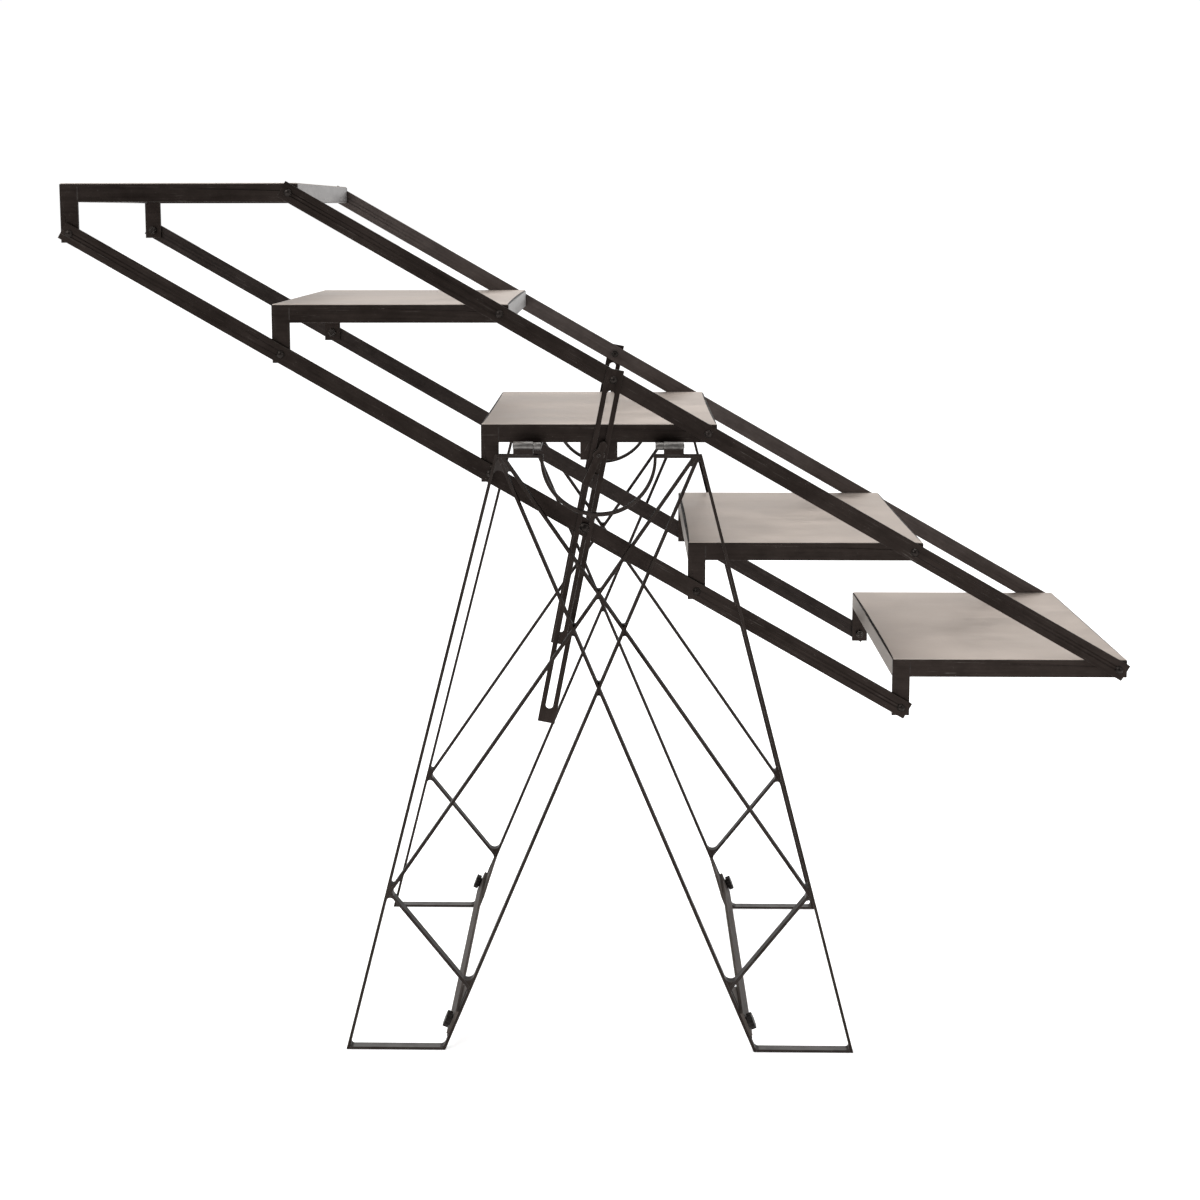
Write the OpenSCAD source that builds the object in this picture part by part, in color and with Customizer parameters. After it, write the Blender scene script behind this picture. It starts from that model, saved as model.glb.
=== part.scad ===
// Adjustable stepped display stand: five level shelves on a tilting pair of parallelogram
// linkages, carried by a welded trestle. X runs along the steps, Y is depth (the near side
// is -Y), Z is up, and the origin is on the floor under the middle shelf.

/* [Linkage] */
// Slope of the rails at rest, in degrees
rail_angle = 30; // [12:1:60]
// Distance between neighbouring shelf pivots along a rail
pitch = 406; // [390:1:420]
// Width of the flat bar in the rails, aprons and legs
bar_w = 30; // [26:1:32]
// Thickness of the flat bar in the rails, aprons and legs
bar_t = 5; // [3:0.5:6]
// How far a rail runs past its end pivot
rail_end = 13; // [11:1:20]
// Diameter of the pivot bolts
bolt_d = 8; // [6:1:10]

/* [Shelves] */
// Length of a shelf along the steps
shelf_len = 400; // [385:1:404]
// Depth of a shelf from near apron to far apron
shelf_depth = 450; // [360:5:560]
// Height of a shelf's leg, from apron top to leg end
leg_h = 98; // [90:1:120]
// Thickness of the sheet that forms a shelf's top
sheet_t = 1.5; // [1:0.5:3]
// Gap between the sheet's edge and the outer face of the frame
sheet_inset = 1.5; // [0.5:0.5:4]

/* [Slotted bar] */
// Distance of the slotted bar's pivot from the middle shelf's upper pivot
slot_pivot_run = 185; // [170:1:200]
// Length of the slotted bar past its pivot
slot_bar_reach = 604; // [600:1:640]
// Width of the long slot
slot_w = 12.5; // [12.5:0.5:14]
// Diameter of the two studs that run in the slot
stud_d = 6; // [5:0.5:6]

/* [Trestle] */
// Height of the clamp stud, which is the centre of the middle shelf's linkage
centre_z = 1040; // [850:5:1250]
// Gap between a slotted bar and the trestle frame beside it
frame_gap = 23; // [18:0.5:40]
// Half of the spread of the outer feet
foot_out = 437; // [350:1:530]
// Half of the spread of the inner feet
foot_in = 270; // [220:1:330]
// Half of the width between the top corners
corner_x = 170; // [160:1:190]
// Thickness of the trestle bars as seen from the front
strut_w = 5; // [4:0.5:7]
// Depth of the trestle bars
strut_d = 14; // [12:1:20]
// Radius of the semicircular strip that leaves room for the clamp lever
arc_r = 97; // [92:1:100]
// Length of the straight ends from which the semicircle hangs
arc_drop = 7; // [5:1:12]

/* [Clamps] */
// Length of a clamp lever's handle
lever_len = 82; // [60:1:100]
// Diameter of a stretcher's hand knob
knob_d = 27; // [20:1:32]
// Width of the stretchers
stretcher_w = 44; // [30:1:55]

/* [Hidden] */

$fn = 48;

// Clearances
run_gap = 0.3;        // between flat faces that slide on each other
bore_fit = 0.05;      // radial clearance of a pin in its bore
eps = 0.01;           // overlap that lets one cut pass right through a face

// Colours
dark_steel = [0.19, 0.165, 0.155];
grey_steel = [0.42, 0.40, 0.39];
sheet_steel = [0.70, 0.66, 0.63];

// Linkage, measured from the clamp centre [x, z]
rail_dir = [cos(rail_angle), -sin(rail_angle)];
pivot_inset = bar_w / 2;
apron_top = 49;
upper_pivot = [shelf_len / 2 - pivot_inset, apron_top - pivot_inset];
lower_pivot = -upper_pivot;
shelf_numbers = [1:5];
slot_pivot = upper_pivot - slot_pivot_run * rail_dir;
slot_tilt = atan2(slot_pivot[0], slot_pivot[1]);
slot_head = 18;
slot_start = 18.7;
slot_end = slot_bar_reach - 24;

// Depth stack, as distances from the middle plane
bracket_out = shelf_depth / 2;
rail_in = bracket_out + run_gap;
rail_out = rail_in + bar_t;
slot_bar_in = rail_out + run_gap;
slot_bar_out = slot_bar_in + bar_t;
frame_in = slot_bar_out + frame_gap;
frame_out = frame_in + strut_d;

// Fasteners
head_d = 1.65 * bolt_d;
head_h = 0.5 * bolt_d;
head_rim = 1.2;
nut_d = 1.85 * bolt_d;
nut_h = 0.8 * bolt_d;
guide_head_d = 17;
washer_d = 20;
washer_t = 2;

// Clamp
tab_w = 63;
tab_drop = 11;
lever_pivot_from_end = 25;
lever_w = 12;
lever_t = 6;
lever_hub_d = 18;
lever_hub_h = 9;
lever_tilt = 24;
stud_past_hub = 3;

// Trestle nodes [x, z] of the left half
frame_top = centre_z + 5;
corner = [-corner_x, frame_top];
foot = [-foot_out, 0];
inner_foot = [-foot_in, 0];
diagonal_height = 273;     // where the line of a diagonal meets the outer leg
brace_top_height = 288;    // where the line of a brace meets the outer leg
brace_height = 111;        // where the line of a brace meets the inner leg
gusset_run = 12;

// Hinges between the trestle and the beams under the middle shelf
beam_w = 40;
beam_from_leg = 31;
beam_x = shelf_len / 2 - bar_w - beam_from_leg - beam_w / 2;
beam_t = 6;
beam_z = centre_z + apron_top - bar_w - beam_t;
barrel_d = 15;
barrel_z = centre_z + apron_top - bar_w;
barrel_y = frame_out - strut_d / 2;
barrel_outer_x = 142;
barrel_len = 33;
knuckle_len = 12.7;
pin_d = 8;
leaf_gap = 2.5;

// Stretchers
stretcher_z = 48;
stretcher_t = 5;
lug_below = 36;
lug_above = 68;
lug_tip_h = 36;
lug_reach = 85;
knob_h = 9;
knob_neck_d = 18;
knob_neck_h = 2;
knob_screw_d = 6;
knob_screw_end = 0.5;
knob_flutes = 8;

// ---- geometry helpers ----

function unit(v) = v / norm(v);
function across(v) = [-v[1], v[0]];
// Point where the line through p along u meets the line [q, v]
function meet(p, u, line) = p + u * cross(line[0] - p, line[1]) / cross(u, line[1]);
// Edge line of the bar from a to b: side 1 is its left-hand edge, -1 its right-hand one
function edge(a, b, side) = [a + side * across(unit(b - a)) * strut_w / 2, unit(b - a)];
// Outline of the bar from a to b, cut at each end along a line
function bar(a, b, cut_a, cut_b) =
    let (u = unit(b - a), n = across(u) * strut_w / 2)
    [meet(a + n, u, cut_a), meet(a - n, u, cut_a), meet(a - n, u, cut_b), meet(a + n, u, cut_b)];
function level(z) = [[0, z], [1, 0]];
function flip(p) = [-p[0], p[1]];
function flip_line(line) = [flip(line[0]), flip(line[1])];
function flip_all(points) = [for (p = points) flip(p)];

// Extrudes an outline drawn in X and Z between two distances in front of the middle plane
module slab(y_in, y_out) {
    translate([0, -y_in, 0])
        rotate([90, 0, 0])
            linear_extrude(y_out - y_in)
                children();
}

// A pin along Y between two distances in front of the middle plane
module pin(p, d, y_in, y_out, sides = $fn) {
    translate([p[0], -y_in, p[1]])
        rotate([90, 0, 0])
            cylinder(d = d, h = y_out - y_in, $fn = sides);
}

// The children on the near side, the far side, or both
module near() { children(); }
module far() { mirror([0, 1, 0]) children(); }
module both_sides() {
    near() children();
    far() children();
}
module left_and_right() {
    children();
    mirror([1, 0, 0]) children();
}

// Puts the linkage centre at its height
module at_centre() { translate([0, 0, centre_z]) children(); }

function shelf_shift(n) = (n - 3) * pitch * rail_dir;
module at_shelf(n) {
    translate([shelf_shift(n)[0], 0, shelf_shift(n)[1]]) at_centre() children();
}

// ---- shelves ----

module bracket_apron() {
    leg_inner = bar_w - shelf_len / 2;
    difference() {
        slab(bracket_out - bar_t, bracket_out)
            translate([leg_inner, apron_top - bar_w]) square([shelf_len - bar_w, bar_w]);
        pin(upper_pivot, bolt_d + 2 * bore_fit, bracket_out - bar_t - 1, bracket_out + 1);
    }
}

module bracket_leg() {
    difference() {
        slab(bracket_out - bar_t, bracket_out)
            translate([-shelf_len / 2, apron_top - leg_h]) square([bar_w, leg_h]);
        pin(lower_pivot, bolt_d + 2 * bore_fit, bracket_out - bar_t - 1, bracket_out + 1);
    }
}

module brackets(n) {
    color(dark_steel) at_shelf(n) both_sides() {
        bracket_apron();
        bracket_leg();
    }
}

module side_bars(n) {
    depth = shelf_depth - 2 * bar_t;
    color(dark_steel) at_shelf(n) left_and_right()
        translate([-shelf_len / 2, -depth / 2, apron_top - bar_w])
            cube([bar_t, depth, bar_w]);
}

module sheet_top(n) {
    sheet = [shelf_len - 2 * sheet_inset, shelf_depth - 2 * sheet_inset, sheet_t];
    color(sheet_steel) at_shelf(n)
        translate([-sheet[0] / 2, -sheet[1] / 2, apron_top]) cube(sheet);
}

// A domed bolt from the inner face of a bracket out to its head
module domed_bolt(p, d, y_in, y_head, head = head_d) {
    dome_r = (head * head / 4 + head_h * head_h) / (2 * head_h);
    pin(p, d, y_in, y_head + eps);
    translate([p[0], -y_head, p[1]]) rotate([90, 0, 0]) {
        cylinder(d = head, h = head_rim);
        translate([0, 0, head_rim - eps]) intersection() {
            cylinder(d = head, h = head_h);
            translate([0, 0, head_h - dome_r]) sphere(r = dome_r);
        }
    }
}

// The nut behind a bolt, as a separate hexagonal piece
module hex_nut(p, d, y_face, size = nut_d) {
    difference() {
        pin(p, size, y_face - nut_h, y_face, sides = 6);
        pin(p, d + 2 * bore_fit, y_face - nut_h - 1, y_face + 1);
    }
}

module pivot_bolts(n) {
    inner = bracket_out - bar_t;
    color(dark_steel) at_shelf(n) both_sides() for (p = [upper_pivot, lower_pivot]) {
        domed_bolt(p, bolt_d, inner - nut_h - 2, rail_out + run_gap);
        hex_nut(p, bolt_d, inner);
    }
}

// ---- rails ----

rail_length = 4 * pitch + 2 * rail_end;

// A rail through the pivots of all five shelves, with one more hole for a bolt of the slotted bar
module rail(middle_pivot, extra, extra_d) {
    color(dark_steel) at_centre() difference() {
        slab(rail_in, rail_out)
            translate(middle_pivot) rotate(-rail_angle) square([rail_length, bar_w], center = true);
        for (n = shelf_numbers)
            pin(middle_pivot + shelf_shift(n), bolt_d + 2 * bore_fit, rail_in - 1, rail_out + 1);
        pin(extra, extra_d + 2 * bore_fit, rail_in - 1, rail_out + 1);
    }
}

module upper_rail() { rail(upper_pivot, slot_pivot, bolt_d); }
module lower_rail() { rail(lower_pivot, -slot_pivot, stud_d); }

// ---- slotted bar and its clamp ----

module slotted_bar() {
    color(dark_steel) at_centre() difference() {
        slab(slot_bar_in, slot_bar_out)
            translate(slot_pivot) rotate(-slot_tilt) {
                difference() {
                    translate([-bar_w / 2, -slot_bar_reach]) square([bar_w, slot_bar_reach + slot_head]);
                    translate([-slot_w / 2, slot_w / 2 - slot_end])
                        square([slot_w, slot_end - slot_start - slot_w]);
                    translate([0, slot_w / 2 - slot_end]) circle(d = slot_w);
                    translate([0, -slot_start - slot_w / 2]) circle(d = slot_w);
                }
            }
        pin(slot_pivot, bolt_d + 2 * bore_fit, slot_bar_in - 1, slot_bar_out + 1);
    }
}

module slotted_bar_bolts() {
    color(dark_steel) at_centre() both_sides() {
        domed_bolt(slot_pivot, bolt_d, rail_in - nut_h - 1, slot_bar_out + run_gap);
        hex_nut(slot_pivot, bolt_d, rail_in);
    }
}

module slot_guide_bolts() {
    color(dark_steel) at_centre() both_sides() {
        domed_bolt(-slot_pivot, stud_d, rail_in - nut_h - 1, slot_bar_out + run_gap, guide_head_d);
        hex_nut(-slot_pivot, stud_d, rail_in, 1.9 * stud_d);
    }
}

module clamp_tabs() {
    tab_h = apron_top - bar_w + tab_drop;
    color(dark_steel) at_centre() both_sides() difference() {
        slab(bracket_out - bar_t, bracket_out)
            translate([-tab_w / 2, -tab_drop]) square([tab_w, tab_h]);
        pin([0, 0], stud_d + 2 * bore_fit, bracket_out - bar_t - 1, bracket_out + 1);
    }
}

hub_in = slot_bar_out + run_gap + washer_t + run_gap;
hub_out = hub_in + lever_hub_h;

// The stud, with a shoulder that fills the rails' plane and a hexagonal head behind the tab,
// and the loose washer between the slotted bar and the lever's hub
module clamp_studs_and_washers() {
    shoulder_d = 2.2 * stud_d;
    tab_in = bracket_out - bar_t;
    washer_in = slot_bar_out + run_gap;
    color(dark_steel) at_centre() both_sides() {
        pin([0, 0], stud_d, tab_in - eps, hub_out + stud_past_hub);
        pin([0, 0], shoulder_d, bracket_out, rail_out);
        pin([0, 0], 1.9 * stud_d, tab_in - 0.65 * stud_d, tab_in, sides = 6);
        difference() {
            pin([0, 0], washer_d, washer_in, washer_in + washer_t);
            pin([0, 0], stud_d + 2 * bore_fit, washer_in - 1, washer_in + washer_t + 1);
        }
    }
}

module clamp_lever() {
    handle_mid = lever_len / 2 - lever_pivot_from_end;
    handle_in = hub_out - lever_t;
    color(dark_steel) at_centre() difference() {
        union() {
            pin([0, 0], lever_hub_d, hub_in, hub_out);
            slab(handle_in, hub_out) rotate(-lever_tilt) {
                straight = lever_len - lever_w;
                translate([0, -handle_mid]) square([lever_w, straight], center = true);
                for (end = [-1, 1])
                    translate([0, end * straight / 2 - handle_mid]) circle(d = lever_w);
            }
        }
        pin([0, 0], stud_d + 2 * bore_fit, hub_in - 1, hub_out + 1);
    }
}

// ---- trestle frames ----

outer_inside = edge(foot, corner, -1);
strip_low = level(frame_top - strut_w);
// An inner leg and a diagonal end side by side under the strip, next to the opposite outer leg
leg_seat = flip(meet(outer_inside[0], outer_inside[1], strip_low));
inner_top = leg_seat - [0.6 * strut_w, 0];
diagonal_top = inner_top - [1.3 * strut_w, 0];

// A diagonal ends on the outer leg, and a brace starts from the diagonal's underside beside it
diagonal_start = meet(foot, unit(corner - foot), level(diagonal_height));
brace_start = meet(foot, unit(corner - foot), level(brace_top_height));
brace_node = meet(inner_foot, unit(inner_top - inner_foot), level(brace_height));

inner_outside = edge(inner_foot, inner_top, 1);
inner_inside = edge(inner_foot, inner_top, -1);
diagonal_above = edge(diagonal_start, diagonal_top, 1);
diagonal_below = edge(diagonal_start, diagonal_top, -1);

module frame_bar(points) { slab(frame_in, frame_out) polygon(points); }

module outer_legs() {
    points = bar(foot, corner, level(0), level(frame_top));
    color(dark_steel) for (p = [points, flip_all(points)]) frame_bar(p);
}

// The inner leg from the left foot runs whole to the opposite corner
module whole_inner_leg() {
    color(dark_steel) difference() {
        frame_bar(bar(inner_foot, inner_top, level(0), strip_low));
        on_inner_leg() screw_holes(-strut_w, strut_w);
    }
}

// The inner leg from the right foot is welded to the whole one in two lengths
module split_inner_leg() {
    a = flip(inner_foot);
    b = flip(inner_top);
    color(dark_steel) {
        difference() {
            frame_bar(bar(a, b, level(0), inner_inside));
            mirror([1, 0, 0]) on_inner_leg() screw_holes(-strut_w, strut_w);
        }
        frame_bar(bar(a, b, inner_outside, strip_low));
    }
}

// Each diagonal is cut where it meets an inner leg, and the right one also at the left one
module left_diagonal() {
    a = diagonal_start;
    b = diagonal_top;
    color(dark_steel) {
        frame_bar(bar(a, b, outer_inside, flip_line(inner_inside)));
        frame_bar(bar(a, b, flip_line(inner_outside), strip_low));
    }
}

module right_diagonal() {
    a = flip(diagonal_start);
    b = flip(diagonal_top);
    color(dark_steel) {
        frame_bar(bar(a, b, flip_line(outer_inside), inner_inside));
        frame_bar(bar(a, b, inner_outside, diagonal_below));
        frame_bar(bar(a, b, diagonal_above, strip_low));
    }
}

// The short braces from the diagonals' lower ends down to the inner legs, and the bars on the floor
module braces_and_foot_bars() {
    mid = strut_w / 2;
    brace = bar(brace_start, brace_node, diagonal_below, inner_outside);
    foot_bar = bar([foot[0], mid], [inner_foot[0], mid], outer_inside, inner_outside);
    color(dark_steel) for (p = [brace, foot_bar]) {
        frame_bar(p);
        frame_bar(flip_all(p));
    }
}

// Outline of a disc whose lower half hangs from straight ends, cut off level at the strip's top
module hanging_disc(r) {
    intersection() {
        union() {
            circle(r = r, $fn = 96);
            translate([-r, 0]) square([2 * r, arc_drop]);
        }
        translate([-r - 1, -r - 1]) square([2 * r + 2, r + 1 + arc_drop]);
    }
}

// Straight strip from each corner, joined by the hanging semicircle
module top_strip() {
    mid = frame_top - strut_w / 2;
    arc_end = [-arc_r, mid];
    points = bar(arc_end, [-corner_x, mid], [arc_end, [0, 1]], outer_inside);
    color(dark_steel) {
        for (p = [points, flip_all(points)]) frame_bar(p);
        slab(frame_in, frame_out) translate([0, frame_top - arc_drop]) difference() {
            hanging_disc(arc_r);
            hanging_disc(arc_r - strut_w);
        }
    }
}

// Small webs in the sharp corners: leg to diagonal, and brace to inner leg
module gussets() {
    outer_dir = unit(corner - foot);
    diagonal_dir = unit(diagonal_top - diagonal_start);
    v = meet(outer_inside[0], outer_inside[1], diagonal_above);
    brace_above = edge(brace_start, brace_node, 1);
    w = meet(inner_outside[0], inner_outside[1], brace_above);
    webs = [
        [v, v + gusset_run * diagonal_dir, v + gusset_run * outer_dir],
        [w, w + gusset_run * unit(inner_top - inner_foot),
            w - gusset_run * unit(brace_node - brace_start)]];
    color(dark_steel) for (p = webs) {
        frame_bar(p);
        frame_bar(flip_all(p));
    }
}

// ---- hinges under the middle shelf ----

// Rod along X between two distances from the middle, at a hinge's axis
module hinge_rod(d, x_a, x_b) {
    translate([-x_b, -barrel_y, barrel_z])
        rotate([0, 90, 0])
            cylinder(d = d, h = x_b - x_a);
}

module all_hinges() { both_sides() left_and_right() children(); }

barrel_inner_x = barrel_outer_x - barrel_len;
knuckle_outer_x = barrel_inner_x - run_gap;

module hinge_barrels() {
    color(grey_steel) all_hinges() difference() {
        hinge_rod(barrel_d, barrel_inner_x, barrel_outer_x);
        hinge_rod(pin_d + 2 * bore_fit, barrel_inner_x - 1, barrel_outer_x + 1);
    }
}

module hinge_knuckles() {
    color(grey_steel) all_hinges() difference() {
        hinge_rod(barrel_d - 2, knuckle_outer_x - knuckle_len, knuckle_outer_x);
        hinge_rod(pin_d + 2 * bore_fit, knuckle_outer_x - knuckle_len - 1, knuckle_outer_x + 1);
    }
}

module hinge_pins() {
    color(dark_steel) all_hinges()
        hinge_rod(pin_d, knuckle_outer_x - knuckle_len - 1, barrel_outer_x + 1);
}

// Block that carries a barrel on the top strip, hollowed to the barrel's curve
module hinge_leaves() {
    color(dark_steel) all_hinges() difference() {
        translate([-barrel_outer_x, -frame_out, frame_top])
            cube([barrel_len, strut_d, barrel_z - barrel_d / 4 - frame_top]);
        hinge_rod(barrel_d, barrel_inner_x - 1, barrel_outer_x + 1);
    }
}

// Flat bar under the aprons, with a tongue at each end that reaches the hinge's knuckle
module cross_beams() {
    beam_end = barrel_y - barrel_d / 2 - leaf_gap;
    tongue_w = knuckle_len - 2 * run_gap;
    tongue_x = knuckle_outer_x - run_gap - tongue_w;
    color(dark_steel) left_and_right() difference() {
        union() {
            translate([-beam_x - beam_w / 2, -beam_end, beam_z]) cube([beam_w, 2 * beam_end, beam_t]);
            translate([-tongue_x - tongue_w, -barrel_y, beam_z]) cube([tongue_w, 2 * barrel_y, beam_t]);
        }
        both_sides() hinge_rod(barrel_d - 2, 0, barrel_outer_x);
    }
}

// ---- stretchers ----

leg_dir = unit(inner_top - inner_foot);
leg_lean = atan2(leg_dir[0], leg_dir[1]);
stretcher_at = meet(inner_foot, leg_dir, level(stretcher_z));
bolt_y = frame_out - strut_d / 2;
lug_out = strut_w / 2;
stretcher_out = lug_out + stretcher_t;

// Local frame on the left inner leg: X away from the stand, Y depth, Z up along the leg
module on_inner_leg() {
    translate([stretcher_at[0], 0, stretcher_at[1]])
        rotate([0, leg_lean, 0])
            mirror([1, 0, 0])
                children();
}

module across_plate(x_in, x_out) {
    translate([x_in, 0, 0]) rotate([90, 0, 90]) linear_extrude(x_out - x_in) children();
}

// Holes for the knobs' screws, through whatever lies between two distances from the leg's middle
module screw_holes(x_in, x_out) {
    across_plate(x_in, x_out)
        for (end = [-1, 1]) translate([end * bolt_y, 0]) circle(d = knob_screw_d + 2 * bore_fit);
}

module stretcher() {
    color(grey_steel) on_inner_leg() difference() {
        across_plate(lug_out, stretcher_out)
            square([2 * frame_out, stretcher_w], center = true);
        screw_holes(0, stretcher_out + 1);
    }
}

// Tapered plate welded to the inner leg, flush with it, which a stretcher lies against
module stretcher_lugs() {
    color(dark_steel) left_and_right() both_sides() on_inner_leg()
        across_plate(-lug_out, lug_out)
            polygon([[-frame_in, -lug_below], [lug_reach - frame_in, -lug_tip_h / 2],
                     [lug_reach - frame_in, lug_tip_h / 2], [-frame_in, lug_above]]);
}

// Fluted hand knob with its screw, on the near end of the left stretcher
module knob() {
    screw_in = -lug_out - knob_screw_end;
    face = stretcher_out + run_gap;
    color(dark_steel) on_inner_leg() translate([0, -bolt_y, 0]) rotate([0, 90, 0]) {
        translate([0, 0, screw_in]) cylinder(d = knob_screw_d, h = face - screw_in + eps);
        translate([0, 0, face]) cylinder(d = knob_neck_d, h = knob_neck_h + eps);
        translate([0, 0, face + knob_neck_h]) difference() {
            cylinder(d = knob_d, h = knob_h);
            for (i = [0:knob_flutes - 1]) rotate(i * 360 / knob_flutes)
                translate([0.58 * knob_d, 0, -1]) cylinder(d = 0.28 * knob_d, h = knob_h + 2);
        }
    }
}

// ---- nodes ----

for (n = shelf_numbers) {
    brackets(n);
    side_bars(n);
    sheet_top(n);
    pivot_bolts(n);
}
near() upper_rail();  // near_upper_rail
far() upper_rail();  // far_upper_rail
near() lower_rail();  // near_lower_rail
far() lower_rail();  // far_lower_rail
near() slotted_bar();  // near_slotted_bar
far() slotted_bar();  // far_slotted_bar
slotted_bar_bolts();
slot_guide_bolts();
clamp_tabs();
clamp_studs_and_washers();
near() clamp_lever();  // near_clamp_lever
far() clamp_lever();  // far_clamp_lever
near() outer_legs();  // near_outer_legs
near() whole_inner_leg();  // near_whole_inner_leg
near() split_inner_leg();  // near_split_inner_leg
near() left_diagonal();  // near_left_diagonal
near() right_diagonal();  // near_right_diagonal
near() braces_and_foot_bars();  // near_braces_and_foot_bars
near() top_strip();  // near_top_strip
near() gussets();  // near_gussets
far() outer_legs();  // far_outer_legs
far() whole_inner_leg();  // far_whole_inner_leg
far() split_inner_leg();  // far_split_inner_leg
far() left_diagonal();  // far_left_diagonal
far() right_diagonal();  // far_right_diagonal
far() braces_and_foot_bars();  // far_braces_and_foot_bars
far() top_strip();  // far_top_strip
far() gussets();  // far_gussets
cross_beams();
hinge_leaves();
hinge_barrels();
hinge_knuckles();
hinge_pins();
stretcher();  // left_stretcher
mirror([1, 0, 0]) stretcher();  // right_stretcher
stretcher_lugs();
knob();  // near_left_knob
mirror([1, 0, 0]) knob();  // near_right_knob
far() knob();  // far_left_knob
far() mirror([1, 0, 0]) knob();  // far_right_knob
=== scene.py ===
"""Looks of the adjustable stepped display stand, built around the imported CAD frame."""
import math

import bmesh
import bpy
from mathutils import Matrix, Vector, noise


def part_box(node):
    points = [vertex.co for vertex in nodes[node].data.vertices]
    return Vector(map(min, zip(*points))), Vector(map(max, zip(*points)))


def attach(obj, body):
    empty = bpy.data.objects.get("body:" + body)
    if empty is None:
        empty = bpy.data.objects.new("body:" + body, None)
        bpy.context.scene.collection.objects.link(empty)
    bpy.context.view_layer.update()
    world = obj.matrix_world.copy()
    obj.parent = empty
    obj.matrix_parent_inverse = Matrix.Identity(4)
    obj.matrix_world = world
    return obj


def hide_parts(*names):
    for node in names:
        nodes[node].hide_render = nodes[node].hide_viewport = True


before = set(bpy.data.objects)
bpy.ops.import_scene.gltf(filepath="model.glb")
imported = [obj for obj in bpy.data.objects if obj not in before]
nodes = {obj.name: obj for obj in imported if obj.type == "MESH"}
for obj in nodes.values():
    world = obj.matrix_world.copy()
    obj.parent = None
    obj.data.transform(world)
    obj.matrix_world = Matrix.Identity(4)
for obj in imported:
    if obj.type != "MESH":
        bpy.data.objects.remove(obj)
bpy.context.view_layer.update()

# ---- sizes in metres that the CAD model also has ----
MM = 0.001
RAIL_ANGLE = math.radians(30)
BAR_W, BAR_T = 0.030, 0.005
SHELF_LEN, SHELF_DEPTH = 0.400, 0.450
SHEET_T = 0.0015
CENTRE_Z = 1.040
FRAME_TOP = CENTRE_Z + 0.005
CORNER_X, FOOT_OUT, FOOT_IN = 0.170, 0.437, 0.270
DIAGONAL_HEIGHT, BRACE_TOP_HEIGHT, BRACE_HEIGHT = 0.273, 0.288, 0.111
STRUT_W = 0.005
FRAME_OUT = -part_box("near_top_strip")[0].y
FRAME_IN = -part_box("near_top_strip")[1].y
STRETCHER_Z, LUG_BELOW, LUG_ABOVE = 0.048, 0.036, 0.068
BARREL_LEN, BEAM_W = 0.033, 0.038


# ---- camera ----
def make_camera():
    """Camera at the viewing angle that the proportions of the real stand give, as a 36 mm wide frame."""
    lens, sensor_width, shift_down = 44.56, 36, -0.2
    place = Vector((0.0412, -2.7140, 1.4495))
    turn_left, look_down, roll = 0.0157, 0.1002, -0.0013
    data = bpy.data.cameras.new("camera")
    data.lens, data.sensor_width, data.shift_y = lens, sensor_width, shift_down
    data.clip_start, data.clip_end = 0.05, 200
    cam = bpy.data.objects.new("camera", data)
    bpy.context.scene.collection.objects.link(cam)
    turn = (Matrix.Rotation(turn_left, 4, "Z") @ Matrix.Rotation(math.pi / 2 - look_down, 4, "X")
            @ Matrix.Rotation(roll, 4, "Z"))
    cam.matrix_world = Matrix.Translation(place) @ turn
    bpy.context.scene.camera = cam


# ---- node helpers for materials ----
class Graph:
    """Short way to write a shader node tree."""

    def __init__(self, tree):
        self.tree = tree
        tree.nodes.clear()

    def add(self, kind, inputs=None, **settings):
        node = self.tree.nodes.new(kind)
        for key, value in settings.items():
            setattr(node, key, value)
        for key, value in (inputs or {}).items():
            socket = node.inputs[key]
            if isinstance(value, bpy.types.NodeSocket):
                self.tree.links.new(value, socket)
            else:
                socket.default_value = value
        return node

    def math(self, operation, a, b=0.0, clamp=False):
        return self.add("ShaderNodeMath", {0: a, 1: b}, operation=operation, use_clamp=clamp).outputs[0]

    def ramp(self, value, low, high, to_low=0.0, to_high=1.0):
        return self.add("ShaderNodeMapRange", {0: value, 1: low, 2: high, 3: to_low, 4: to_high}).outputs[0]

    def mix(self, factor, a, b):
        node = self.add("ShaderNodeMix", data_type="RGBA")
        for index, value in ((0, factor), (6, a), (7, b)):
            if isinstance(value, bpy.types.NodeSocket):
                self.tree.links.new(value, node.inputs[index])
            else:
                node.inputs[index].default_value = value
        return node.outputs[2]

    def stretched(self, place, turn, size, seed, detail=3.0, roughness=0.55):
        """Noise whose cells have the given size in metres along the turned axes."""
        where = self.add("ShaderNodeMapping", {"Vector": place, "Location": seed, "Rotation": turn,
                                               "Scale": size}, vector_type="TEXTURE").outputs[0]
        return self.add("ShaderNodeTexNoise", {"Vector": where, "Scale": 1.0, "Detail": detail,
                                               "Roughness": roughness}).outputs["Fac"]


def rgb(r, g, b):
    """Opaque colour for a shader socket."""
    return (r, g, b, 1.0)


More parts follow.
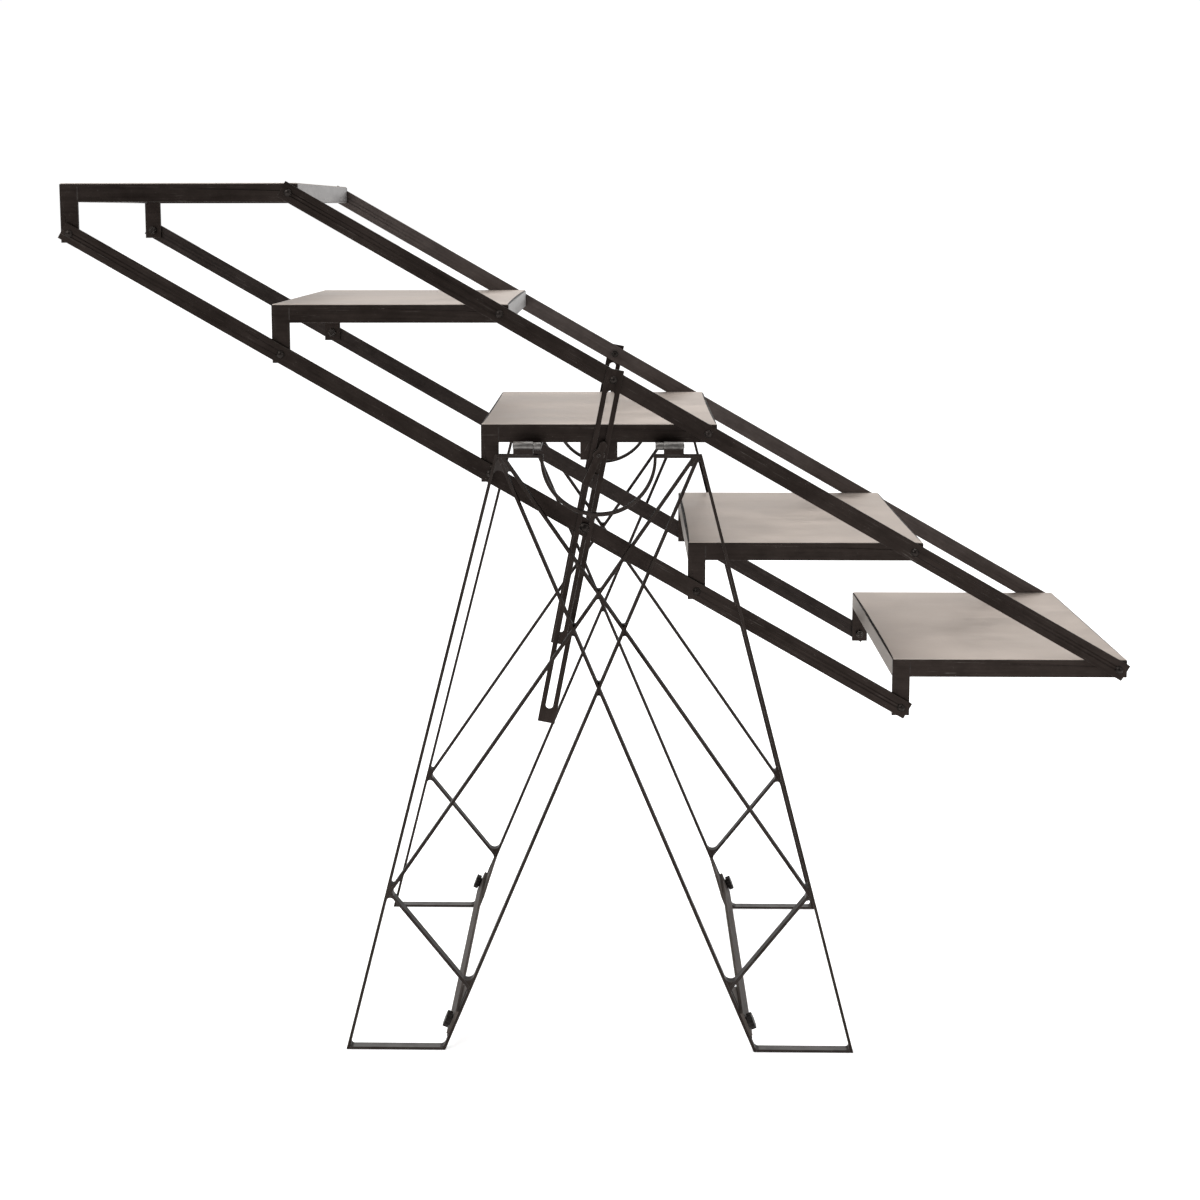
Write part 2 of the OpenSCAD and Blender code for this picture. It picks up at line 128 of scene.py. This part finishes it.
def steel(name, dark, light, bare, metallic, rough, turn=(0, 0, 0), seed=0.0, wear=0.5, grain=1.0,
          mottle=0.03, scratch=0.35, wear_radius=1.2, glancing=0.7, top=None):
    """Worn steel: mottled patina, fine drawn grain, scratches, pits, and bare metal along the edges.

    glancing is how much of the glancing reflection is left, and top is the colour of faces that look up."""
    material = bpy.data.materials.new(name)
    material.use_nodes = True
    g = Graph(material.node_tree)
    place = g.add("ShaderNodeTexCoord").outputs["Object"]
    shift = (seed, seed * 0.7, -seed * 0.4)

    patches = g.stretched(place, turn, (0.14, 0.09, 0.09), shift, 4.0, 0.6)
    blotches = g.stretched(place, turn, (mottle, mottle * 0.6, mottle * 0.6), shift, 6.0, 0.65)
    streaks = g.stretched(place, turn, (0.12, 0.0035, 0.0035), shift, 3.0, 0.6)
    lines = g.stretched(place, turn, (0.03, 0.0007, 0.0007), shift, 2.0, 0.5)
    pits = g.stretched(place, turn, (0.0022, 0.0022, 0.0022), shift, 4.0, 0.7)
    skewed = tuple(a + b for a, b in zip(turn, (0.2, 0.35, 0.5)))
    scratch_a = g.stretched(place, turn, (0.06, 0.0011, 0.0011), (seed + 3, 1, 2), 1.0, 0.4)
    scratch_b = g.stretched(place, skewed, (0.05, 0.0013, 0.0013), (seed + 7, 5, 4), 1.0, 0.4)

    tone = g.math("ADD", g.ramp(patches, 0.32, 0.68, 0.0, 0.55), g.ramp(blotches, 0.3, 0.72, 0.0, 0.45), True)
    tone = g.math("ADD", tone, g.ramp(streaks, 0.35, 0.65, -0.14, 0.14), True)
    colour = g.mix(tone, rgb(*dark), rgb(*light))
    nicks = g.math("MAXIMUM", g.ramp(scratch_a, 0.725, 0.76), g.ramp(scratch_b, 0.74, 0.78))
    nicks = g.math("MULTIPLY", nicks, g.ramp(blotches, 0.42, 0.62))
    nicks = g.math("MULTIPLY", nicks, scratch, True)

    round_normal = g.add("ShaderNodeBevel", {"Radius": wear_radius * MM}, samples=3).outputs[0]
    face_normal = g.add("ShaderNodeNewGeometry").outputs["Normal"]
    dot = g.add("ShaderNodeVectorMath", {0: round_normal, 1: face_normal},
                operation="DOT_PRODUCT").outputs["Value"]
    edge = g.ramp(dot, 0.97, 0.80)
    uneven = g.math("ADD", blotches, g.math("MULTIPLY", pits, 0.5))
    edge = g.math("MULTIPLY", edge, g.ramp(uneven, 0.62, 0.92))
    edge = g.math("MULTIPLY", edge, wear, True)
    worn = g.math("MAXIMUM", edge, nicks)
    colour = g.mix(worn, colour, rgb(*bare))
    # Faces that look up take the top colour: painted shade on the side bars' tops, a paler colour on the foot
    # bars' tops.
    if top:
        facing_up = g.ramp(g.add("ShaderNodeSeparateXYZ", {0: face_normal}).outputs[2], 0.45, 0.95)
        patchy = g.math("MULTIPLY", facing_up, g.ramp(blotches, 0.25, 0.55, 0.6, 1.0))
        colour = g.mix(patchy, colour, rgb(*top))

    roughness = g.math("ADD", g.ramp(patches, 0.3, 0.7, rough - 0.07, rough + 0.07),
                       g.ramp(streaks, 0.3, 0.7, -0.05, 0.05))
    roughness = g.math("SUBTRACT", roughness, g.math("MULTIPLY", worn, 0.12), True)
    height = g.math("ADD", g.math("MULTIPLY", lines, 0.30 * grain), g.math("MULTIPLY", pits, 0.35))
    height = g.math("ADD", height, g.math("MULTIPLY", blotches, 0.5))
    height = g.math("SUBTRACT", height, g.math("MULTIPLY", nicks, 0.5))
    bump = g.add("ShaderNodeBump", {"Height": height, "Strength": 0.35, "Distance": 0.12 * MM}).outputs[0]
    tint = rgb(glancing, glancing, glancing)
    shader = g.add("ShaderNodeBsdfPrincipled", {
        "Base Color": colour, "Metallic": metallic, "Roughness": roughness, "Specular IOR Level": 0.3,
        "Specular Tint": tint, "Normal": bump}).outputs[0]
    g.add("ShaderNodeOutputMaterial", {"Surface": shader})
    return material


def dress(material, *names):
    """Gives CAD nodes this material in place of their own."""
    for name in names:
        slots = nodes[name].data.materials
        slots.clear()
        slots.append(material)


def tilted(degrees_up):
    """Turn that lays a texture's long axis along a bar rising by this angle in the X-Z plane."""
    return (0.0, -math.radians(degrees_up), 0.0)


# ---- materials ----
DARK, DARK_LIGHT = (0.0125, 0.0088, 0.0072), (0.0310, 0.0232, 0.0200)
# The far upper rail is the same steel as the near rails, given a much lighter colour here: painted light.
UPPER_FAR_LIT, UPPER_FAR_LIT_LIGHT = (0.062, 0.0500, 0.0460), (0.112, 0.0930, 0.0860)
LOWER_FAR, LOWER_FAR_LIGHT = (0.0155, 0.0118, 0.0105), (0.038, 0.0300, 0.0270)
BARE = (0.20, 0.185, 0.17)
GREY, GREY_LIGHT = (0.050, 0.046, 0.043), (0.23, 0.220, 0.210)
STRETCHER, STRETCHER_LIGHT = (0.048, 0.0400, 0.0350), (0.098, 0.0840, 0.0750)
# The second colour is a paler colour given to the foot bars' upward faces.
SHADOWED, FOOT_TOP_PALE = (0.006, 0.0045, 0.0040), (0.150, 0.1440, 0.1400)
SHEET_DARK, SHEET_LIGHT = (0.420, 0.360, 0.315), (0.490, 0.427, 0.382)
ALONG_Z = tilted(90)
ALONG_Y = (0.0, 0.0, math.pi / 2)
DOWN_RAIL = (0.0, RAIL_ANGLE, 0.0)

near_rail = steel("near_rail_steel", DARK, DARK_LIGHT, BARE, 0.8, 0.42, DOWN_RAIL, 1.0)
# Far upper rail: lighter copy of the rail steel, painted light.
far_upper = steel("far_upper_rail_lit_steel", UPPER_FAR_LIT, UPPER_FAR_LIT_LIGHT, BARE, 0.8, 0.45, DOWN_RAIL, 2.0)
far_lower = steel("far_lower_rail_steel", LOWER_FAR, LOWER_FAR_LIGHT, BARE, 0.8, 0.45, DOWN_RAIL, 2.5)
slot_bar = steel("slotted_bar_steel", DARK, DARK_LIGHT, BARE, 0.8, 0.40, tilted(75), 3.0)
frame_bar = steel("trestle_bar_steel", DARK, (0.036, 0.0290, 0.0260), BARE, 0.8, 0.45, ALONG_Z, 4.0,
                  wear_radius=0.8, glancing=0.35)
strip = steel("trestle_strip_steel", DARK, (0.040, 0.0330, 0.0300), BARE, 0.8, 0.42, (0, 0, 0), 5.0,
              wear_radius=0.8, glancing=0.5)
# Foot bars: their upward faces take the paler top colour.
foot_steel = steel("foot_bar_steel", DARK, (0.040, 0.0345, 0.0320), BARE, 0.85, 0.36, (0, 0, 0), 6.0,
                   glancing=0.5, top=FOOT_TOP_PALE)
hardware = steel("fastener_steel", (0.010, 0.0080, 0.0070), (0.034, 0.0280, 0.0250), (0.42, 0.39, 0.36),
                 0.85, 0.30, (0, 0, 0), 7.0, wear=0.9, mottle=0.005, wear_radius=0.9)
clamp = steel("clamp_steel", DARK, DARK_LIGHT, BARE, 0.8, 0.38, tilted(66), 8.0, mottle=0.012)
# Side bars: their top faces get SHADOWED, painted shade in the gap beside the sheet.
pale_side = steel("pale_side_bar_steel", (0.290, 0.280, 0.2750), (0.400, 0.3900, 0.3850), (0.50, 0.49, 0.48),
                  0.75, 0.42, ALONG_Y, 9.0, scratch=0.25, top=SHADOWED)
brown_side = steel("brown_side_bar_steel", (0.215, 0.1880, 0.1680), (0.300, 0.2700, 0.2450),
                   (0.42, 0.38, 0.35), 0.7, 0.50, ALONG_Y, 9.5, scratch=0.25, glancing=0.5, top=SHADOWED)
beam = steel("beam_steel", DARK, DARK_LIGHT, BARE, 0.8, 0.42, ALONG_Y, 10.0)
barrel = steel("hinge_barrel_steel", GREY, GREY_LIGHT, (0.42, 0.40, 0.38), 0.85, 0.38, (0, 0, 0), 11.0,
               wear=0.7, mottle=0.007, scratch=0.8)
stretcher_steel = steel("stretcher_steel", STRETCHER, STRETCHER_LIGHT, (0.3, 0.28, 0.26), 0.6, 0.58, ALONG_Y,
                        12.0, scratch=0.5, glancing=0.25)
knob_material = steel("knob_steel", (0.0080, 0.0065, 0.0058), (0.020, 0.0170, 0.0155), (0.12, 0.11, 0.10),
                      0.5, 0.48, (0, 0, 0), 13.0, mottle=0.006, glancing=0.5)

dress(near_rail, "near_upper_rail", "near_lower_rail")
dress(far_upper, "far_upper_rail")
dress(far_lower, "far_lower_rail")
dress(slot_bar, "near_slotted_bar", "far_slotted_bar")
for edge_side in ("near", "far"):
    dress(frame_bar, *(f"{edge_side}_{piece}" for piece in (
        "outer_legs", "whole_inner_leg", "split_inner_leg", "left_diagonal", "right_diagonal", "gussets")))
    dress(strip, f"{edge_side}_top_strip")
    dress(foot_steel, f"{edge_side}_braces_and_foot_bars")
    dress(clamp, f"{edge_side}_clamp_lever")
    dress(knob_material, f"{edge_side}_left_knob", f"{edge_side}_right_knob")
dress(hardware, "slotted_bar_bolts", "slot_guide_bolts", "clamp_studs_and_washers", "hinge_pins",
      *(f"shelf_{n}_pivot_bolts" for n in range(1, 6)))
dress(clamp, "clamp_tabs")
dress(beam, "cross_beams", "hinge_leaves")
dress(barrel, "hinge_barrels", "hinge_knuckles")
dress(stretcher_steel, "left_stretcher", "right_stretcher", "stretcher_lugs")
for n in range(1, 6):
    bracket = steel(f"bracket_{n}_steel", DARK, DARK_LIGHT, BARE, 0.8, 0.40, (0, 0, 0), 20.0 + n)
    dress(bracket, f"shelf_{n}_brackets")
    dress(pale_side if n < 3 else brown_side, f"shelf_{n}_side_bars")
    sheet = steel(f"sheet_{n}_steel", SHEET_DARK, SHEET_LIGHT, (0.62, 0.58, 0.54), 0.85, 0.40,
                  (0, 0, 0), 30.0 + n, wear=0.8, mottle=0.07, scratch=0.12)
    dress(sheet, f"shelf_{n}_sheet_top")


# ---- stage and light ----
def make_stage():
    """Plain pale floor, a soft white surround and three soft lamps."""
    floor_radius, below_feet = 60, 0.0005
    scene = bpy.context.scene
    scene.view_settings.view_transform = "Standard"
    scene.view_settings.look = "None"
    world = bpy.data.worlds.new("studio")
    world.use_nodes = True
    g = Graph(world.node_tree)
    way = g.add("ShaderNodeSeparateXYZ", {0: g.add("ShaderNodeTexCoord").outputs["Generated"]}).outputs
    # Dimmer in front of the object, brighter above, behind and at the sides
    front = g.ramp(way[1], -0.9, 0.25, 0.32, 1.0)
    up = g.ramp(way[2], -0.2, 0.8, 0.80, 1.10)
    strength = g.math("MULTIPLY", front, up)
    seen = g.add("ShaderNodeLightPath").outputs["Is Camera Ray"]
    strength = g.math("ADD", g.math("MULTIPLY", seen, 1.02),
                      g.math("MULTIPLY", g.math("SUBTRACT", 1.0, seen), strength))
    back = g.add("ShaderNodeBackground", {"Color": rgb(1, 1, 1), "Strength": strength}).outputs[0]
    g.add("ShaderNodeOutputWorld", {"Surface": back})
    scene.world = world

    floor_mesh = bpy.data.meshes.new("floor")
    bm = bmesh.new()
    bmesh.ops.create_circle(bm, cap_ends=True, segments=96, radius=floor_radius)
    bm.to_mesh(floor_mesh)
    bm.free()
    floor = bpy.data.objects.new("floor", floor_mesh)
    scene.collection.objects.link(floor)
    material = bpy.data.materials.new("pale_floor")
    material.use_nodes = True
    g = Graph(material.node_tree)
    place = g.add("ShaderNodeTexCoord").outputs["Object"]
    cloud = g.stretched(place, (0, 0, 0), (0.6, 0.6, 0.6), (0, 0, 0), 4.0)
    colour = g.mix(g.ramp(cloud, 0.3, 0.7), rgb(0.88, 0.88, 0.88), rgb(0.90, 0.90, 0.90))
    shader = g.add("ShaderNodeBsdfPrincipled", {"Base Color": colour, "Roughness": 0.8,
                                                "Specular IOR Level": 0.2, "Emission Color": rgb(1, 1, 1),
                                                "Emission Strength": 0.50}).outputs[0]
    g.add("ShaderNodeOutputMaterial", {"Surface": shader})
    floor_mesh.materials.append(material)
    floor.location.z = -below_feet

    for name, place, aim, size, watts in (
            ("key", (-2.2, -1.6, 3.6), (0, 0, 0.9), 2.6, 70),
            ("fill", (2.8, -2.2, 2.4), (0, 0, 0.8), 2.4, 22),
            ("top", (0.4, 1.2, 4.2), (0, 0, 0.8), 3.2, 80)):
        light = bpy.data.lights.new(name, "AREA")
        light.shape, light.size, light.energy = "SQUARE", size, watts
        lamp = bpy.data.objects.new(name, light)
        scene.collection.objects.link(lamp)
        lamp.location = place
        lamp.rotation_euler = (Vector(aim) - Vector(place)).to_track_quat("-Z", "Y").to_euler()


make_camera()
make_stage()


# ---- mesh helpers ----
def new_piece(name, bm, material, body, smooth=False):
    """Turns a bmesh into a named piece that moves with a body."""
    bmesh.ops.recalc_face_normals(bm, faces=bm.faces)
    mesh = bpy.data.meshes.new(name)
    bm.to_mesh(mesh)
    bm.free()
    for face in mesh.polygons:
        face.use_smooth = smooth
    mesh.materials.append(material)
    piece = bpy.data.objects.new(name, mesh)
    bpy.context.scene.collection.objects.link(piece)
    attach(piece, body)
    return piece


def add_prism(bm, outline, y_in, y_out):
    """Closed solid from an outline in X and Z, between two depths."""
    front = [bm.verts.new((x, y_out, z)) for x, z in outline]
    rear = [bm.verts.new((x, y_in, z)) for x, z in outline]
    bm.faces.new(front)
    bm.faces.new(rear[::-1])
    for i in range(len(outline)):
        j = (i + 1) % len(outline)
        bm.faces.new((front[j], front[i], rear[i], rear[j]))


def add_bead(bm, start, end, radius, squeeze=1.0, squeeze_axis=None):
    """Rippled weld bead from start to end, lumpy like a hand-laid weld."""
    start, end = Vector(start), Vector(end)
    along = (end - start).normalized()
    length = (end - start).length
    side_way = along.cross(Vector((0.31, 0.77, 0.56))).normalized()
    if squeeze_axis is not None:
        side_way = (Vector(squeeze_axis) - along * along.dot(Vector(squeeze_axis))).normalized()
    up_way = along.cross(side_way)
    ripple, lumps_per_metre = 1.5 * radius, 160
    rings = max(6, int(length / (ripple / 4)))
    sides, last = 8, None
    for i in range(rings + 1):
        t = i / rings
        at = start + along * (length * t)
        taper = min(1.0, 4 * t + 0.35, 4 * (1 - t) + 0.35)
        pulse = 0.86 + 0.14 * abs(math.sin(math.pi * t * length / ripple))
        lump = 1.0 + 0.22 * noise.noise(at * lumps_per_metre)
        r = radius * taper * pulse * lump
        ring = []
        for k in range(sides):
            a = 2 * math.pi * k / sides
            across = side_way * (r * squeeze * math.cos(a)) + up_way * (r * math.sin(a))
            ring.append(bm.verts.new(at + across))
        if last is None:
            bm.faces.new(ring[::-1])
        else:
            for k in range(sides):
                m = (k + 1) % sides
                bm.faces.new((last[k], last[m], ring[m], ring[k]))
        last = ring
    bm.faces.new(last)


# ---- the trestle's construction lines, in X and Z ----
def flat(x, z):
    """Point in the plane of a frame."""
    return Vector((x, z))


def meet(p, u, q, v):
    """Point where the line through p along u meets the line through q along v."""
    return p + u * ((q - p).cross(v) / u.cross(v))


def edge(a, b, side_sign):
    """One edge of the bar from a to b, as a point and a direction."""
    u = (b - a).normalized()
    return a + Vector((-u.y, u.x)) * (side_sign * STRUT_W / 2), u


FOOT, CORNER = flat(-FOOT_OUT, 0), flat(-CORNER_X, FRAME_TOP)
INNER_FOOT = flat(-FOOT_IN, 0)
OUTER_INSIDE = edge(FOOT, CORNER, -1)
STRIP_LOW = (flat(0, FRAME_TOP - STRUT_W), flat(1, 0))
LEG_SEAT = meet(*OUTER_INSIDE, *STRIP_LOW)
INNER_TOP = flat(-LEG_SEAT.x - 0.6 * STRUT_W, LEG_SEAT.y)
DIAGONAL_TOP = INNER_TOP - flat(1.3 * STRUT_W, 0)
LEG_DIR = (CORNER - FOOT).normalized()
BRACE_NODE = meet(INNER_FOOT, (INNER_TOP - INNER_FOOT).normalized(), flat(0, BRACE_HEIGHT), flat(1, 0))
DIAGONAL_START = meet(FOOT, LEG_DIR, flat(0, DIAGONAL_HEIGHT), flat(1, 0))
BRACE_START = meet(FOOT, LEG_DIR, flat(0, BRACE_TOP_HEIGHT), flat(1, 0))
INNER = (INNER_FOOT, INNER_TOP)
DIAGONAL = (DIAGONAL_START, DIAGONAL_TOP)
BRACE = (BRACE_START, BRACE_NODE)


def flip(line):
    """The line's mirror image in the other half of the frame."""
    return tuple(flat(-p.x, p.y) for p in line)


def corner_web(line_a, side_a, way_a, line_b, side_b, way_b, reach):
    """Outline that fills the corner between two bar edges up to a hollow arc, as weld metal does."""
    pa, ua = edge(*line_a, side_a)
    pb, ub = edge(*line_b, side_b)
    apex = meet(pa, ua, pb, ub)
    ua, ub = ua * way_a, ub * way_b
    half = ua.angle(ub) / 2
    middle = (ua + ub).normalized()
    centre = apex + middle * (reach / math.cos(half))
    radius = reach * math.tan(half)
    sweep = math.pi - 2 * half
    first = (apex + ua * reach - centre) / radius
    turn = 1 if first.cross(-middle) > 0 else -1
    steps = 10
    arc = []
    for i in range(steps + 1):
        a = turn * sweep * i / steps
        arc.append(centre + radius * Vector((first.x * math.cos(a) - first.y * math.sin(a),
                                             first.x * math.sin(a) + first.y * math.cos(a))))
    return [apex] + arc


FOOT_BAR = (flat(-FOOT_OUT, STRUT_W / 2), flat(-FOOT_IN, STRUT_W / 2))
STRIP = (flat(-CORNER_X, FRAME_TOP - STRUT_W / 2), flat(CORNER_X, FRAME_TOP - STRUT_W / 2))
OUTER = (FOOT, CORNER)
# Left half's corners: each edge, which way along it the corner opens, and how far the metal reaches in metres
WEBS = [
    corner_web(OUTER, -1, 1, DIAGONAL, 1, 1, 0.016),
    corner_web(OUTER, -1, -1, DIAGONAL, -1, 1, 0.008),
    corner_web(DIAGONAL, -1, -1, BRACE, -1, 1, 0.010),
    corner_web(DIAGONAL, -1, 1, BRACE, 1, 1, 0.007),
    corner_web(INNER, 1, 1, BRACE, 1, -1, 0.020),
    corner_web(INNER, 1, -1, BRACE, -1, -1, 0.008),
    corner_web(OUTER, -1, 1, FOOT_BAR, 1, 1, 0.006),
    corner_web(INNER, 1, 1, FOOT_BAR, 1, -1, 0.006),
    corner_web(OUTER, -1, -1, STRIP, -1, 1, 0.007),
]


def top_corner_webs(beside_diagonal, beside_leg):
    """The two narrow gaps under the top right corner, filled to the given reaches."""
    return [corner_web(INNER, 1, -1, DIAGONAL, -1, -1, beside_diagonal),
            corner_web(flip(OUTER), 1, -1, INNER, -1, -1, beside_leg)]


# Bars that cross: the first of each pair rises to the right, the second to the left
CROSSINGS = [(INNER, flip(INNER)), (DIAGONAL, flip(DIAGONAL)),
             (DIAGONAL, flip(INNER)), (INNER, flip(DIAGONAL))]
CROSSING_REACH = 0.007
for rising, falling in CROSSINGS:
    WEBS.append(corner_web(rising, 1, 1, falling, -1, 1, CROSSING_REACH))
    WEBS.append(corner_web(rising, -1, -1, falling, 1, -1, CROSSING_REACH))

seam_steel = steel("weld_metal", (0.013, 0.0100, 0.0088), (0.042, 0.035, 0.032), (0.16, 0.15, 0.14),
                   0.5, 0.44, (0, 0, 0), 14.0, mottle=0.006, scratch=0.0)


def make_frame_webs(name, near_sign):
    """Weld metal in the frame's corners, with more of it under the top left corner than the right one."""
    bm = bmesh.new()
    skin = 0.4 * MM
    y_in, y_out = near_sign * (FRAME_IN + skin), near_sign * (FRAME_OUT - skin)
    for outline in WEBS + top_corner_webs(0.021, 0.009):
        add_prism(bm, outline, y_in, y_out)
    for outline in WEBS + top_corner_webs(0.033, 0.030):
        add_prism(bm, [(-x, z) for x, z in outline], y_in, y_out)
    new_piece(name, bm, seam_steel, "stand")


make_frame_webs("near_frame_weld_fillets", -1)
make_frame_webs("far_frame_weld_fillets", 1)


# ---- thin sheets that bow a little between their spot welds ----
def make_sheet(n):
    """Thin sheet top that dips in the middle and draws in along its left and right edges."""
    lo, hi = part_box(f"shelf_{n}_sheet_top")
    columns, rows, waves_per_metre = 48, 54, 7
    lift = 0.0 if n == 1 else 0.7 * MM
    draw_in = (3.2 + 0.5 * math.sin(2.1 * n)) * MM
    bm = bmesh.new()
    tops, bottoms = [], []
    for j in range(rows + 1):
        v = j / rows
        bow = math.sin(math.pi * v)
        edge_bow = bow ** 0.5
        for i in range(columns + 1):
            u = i / columns
            side_way = 2 * u - 1
            x = lo.x + (hi.x - lo.x) * u - side_way ** 5 * draw_in * edge_bow
            y = lo.y + (hi.y - lo.y) * v
            wave = noise.noise(Vector((x * waves_per_metre, y * waves_per_metre, n * 3.1)))
            middle = math.sin(math.pi * u) * bow
            z = lo.z + lift * abs(side_way) ** 3 * bow - middle * (0.45 + 0.35 * wave) * MM
            tops.append(bm.verts.new((x, y, z + SHEET_T)))
            bottoms.append(bm.verts.new((x, y, z)))
    span = columns + 1
    for j in range(rows):
        for i in range(columns):
            a = j * span + i
            quad = (a, a + 1, a + span + 1, a + span)
            bm.faces.new([tops[k] for k in quad])
            bm.faces.new([bottoms[k] for k in quad[::-1]])
    ring = (list(range(columns)) + [j * span + columns for j in range(rows)]
            + [rows * span + i for i in range(columns, 0, -1)] + [j * span for j in range(rows, 0, -1)])
    for k, a in enumerate(ring):
        b = ring[(k + 1) % len(ring)]
        bm.faces.new((tops[b], tops[a], bottoms[a], bottoms[b]))
    sheet_material = nodes[f"shelf_{n}_sheet_top"].data.materials[0]
    piece = new_piece(f"shelf_{n}_bowed_sheet", bm, sheet_material, shelf_body(n), True)
    bevel = piece.modifiers.new("bevel", "BEVEL")
    bevel.width, bevel.segments, bevel.angle_limit = 0.3 * MM, 2, math.radians(50)
    piece.data.set_sharp_from_angle(angle=math.radians(50))
    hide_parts(f"shelf_{n}_sheet_top")


def shelf_body(n):
    """Body that shelf n moves with; shelf 3 is fixed."""
    return "stand" if n == 3 else f"shelf_{n}"


def shelf_middle(n):
    """Middle of the sheet's underside."""
    lo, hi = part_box(f"shelf_{n}_sheet_top")
    return Vector(((lo.x + hi.x) / 2, 0, lo.z))


# ---- weld beads on the shelves ----
def make_shelf_welds(n):
    """Seams of the brackets and side bars, and short welds under the sheet."""
    bm = bmesh.new()
    mid = shelf_middle(n)
    spot_len = 0.02
    seam_x = mid.x - SHELF_LEN / 2 + BAR_W
    bottom, top = mid.z - BAR_W, mid.z - 1 * MM
    for s in (-1, 1):
        inner = s * (SHELF_DEPTH / 2 - BAR_T)
        outer = s * (SHELF_DEPTH / 2 - 0.35 * MM)
        add_bead(bm, (seam_x, inner, bottom + 1 * MM), (seam_x, inner, top), 1.9 * MM, 0.55, (0, 1, 0))
        add_bead(bm, (seam_x, outer, bottom + 1 * MM), (seam_x, outer, top), 1.5 * MM, 0.33, (0, 1, 0))
        for t in (-1, 1):
            x = mid.x + t * (SHELF_LEN / 2 - BAR_T)
            add_bead(bm, (x, inner, bottom + 1 * MM), (x, inner, top), 2.2 * MM)
            for part in range(3):
                y = inner - s * (0.06 + 0.15 * part)
                add_bead(bm, (x, y, top), (x, y - s * spot_len, top), 1.6 * MM)
        for part in range(4):
            x = mid.x - 0.14 + 0.09 * part
            add_bead(bm, (x, inner, top), (x + spot_len, inner, top), 1.6 * MM)
    new_piece(f"shelf_{n}_weld_beads", bm, seam_steel, shelf_body(n), True)


for n in range(1, 6):
    make_sheet(n)
    make_shelf_welds(n)


# ---- weld beads on the trestle: lugs, hinge leaves, beams and clamp tabs ----
def make_stand_welds():
    """Welds of the lugs to the inner legs, and of the hinge leaves, beams and clamp tabs."""
    bm = bmesh.new()
    short = 2 * MM
    leg_dir = (INNER_TOP - INNER_FOOT).normalized()
    at = INNER_FOOT + leg_dir * (STRETCHER_Z / leg_dir.y)
    normal = Vector((-leg_dir.y, leg_dir.x))
    low_end, high_end = -LUG_BELOW + short, LUG_ABOVE - short
    stretcher_low, stretcher_high = -0.024, 0.025
    for lr in (1, -1):
        for s in (-1, 1):
            y = s * FRAME_IN
            for face in (1, -1):
                base = at + normal * (face * STRUT_W / 2)
                # On the side of the stretcher the bead stops where the stretcher lies against the leg
                spans = ((low_end, high_end),) if face < 0 else (
                    (low_end, stretcher_low), (stretcher_high, high_end))
                for low, high in spans:
                    a, b = base + leg_dir * low, base + leg_dir * high
                    add_bead(bm, (lr * a.x, y, a.y), (lr * b.x, y, b.y), 1.5 * MM)

    leaves_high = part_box("hinge_leaves")[1]
    first_x, last_x = leaves_high.x - BARREL_LEN + short, leaves_high.x - short
    for lr in (1, -1):
        for s in (-1, 1):
            for y in (FRAME_OUT - 0.5 * MM, FRAME_IN + 0.5 * MM):
                for z, radius in ((FRAME_TOP + 0.4 * MM, 1.5 * MM), (leaves_high.z - 0.6 * MM, 1.3 * MM)):
                    add_bead(bm, (lr * first_x, s * y, z), (lr * last_x, s * y, z), radius)

    inside_apron = SHELF_DEPTH / 2 - BAR_T
    beam_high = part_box("cross_beams")[1]
    for lr in (1, -1):
        for s in (-1, 1):
            add_bead(bm, (lr * (beam_high.x - BEAM_W), s * inside_apron, beam_high.z),
                     (lr * (beam_high.x - short), s * inside_apron, beam_high.z), 2.0 * MM)
    tab_low, tab_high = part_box("clamp_tabs")
    for s in (-1, 1):
        add_bead(bm, (tab_low.x + 3 * MM, s * inside_apron, tab_high.z),
                 (tab_high.x - 3 * MM, s * inside_apron, tab_high.z), 1.8 * MM)
    new_piece("stand_weld_beads", bm, seam_steel, "stand", True)


make_stand_welds()


# ---- softened edges of the CAD bars ----
def soften(name, width, segments=2):
    """Small bevel on a CAD node's sharp edges, after welding its split vertices."""
    weld = nodes[name].modifiers.new("weld", "WELD")
    weld.merge_threshold = 0.01 * MM
    bevel = nodes[name].modifiers.new("bevel", "BEVEL")
    bevel.width, bevel.segments = width, segments
    bevel.limit_method, bevel.angle_limit = "ANGLE", math.radians(40)
    bevel.use_clamp_overlap = True
    bevel.harden_normals = False


for name in nodes:
    if not any(word in name for word in ("bolts", "studs", "pins")):
        soften(name, 1.0 * MM if "knob" in name else 0.5 * MM)
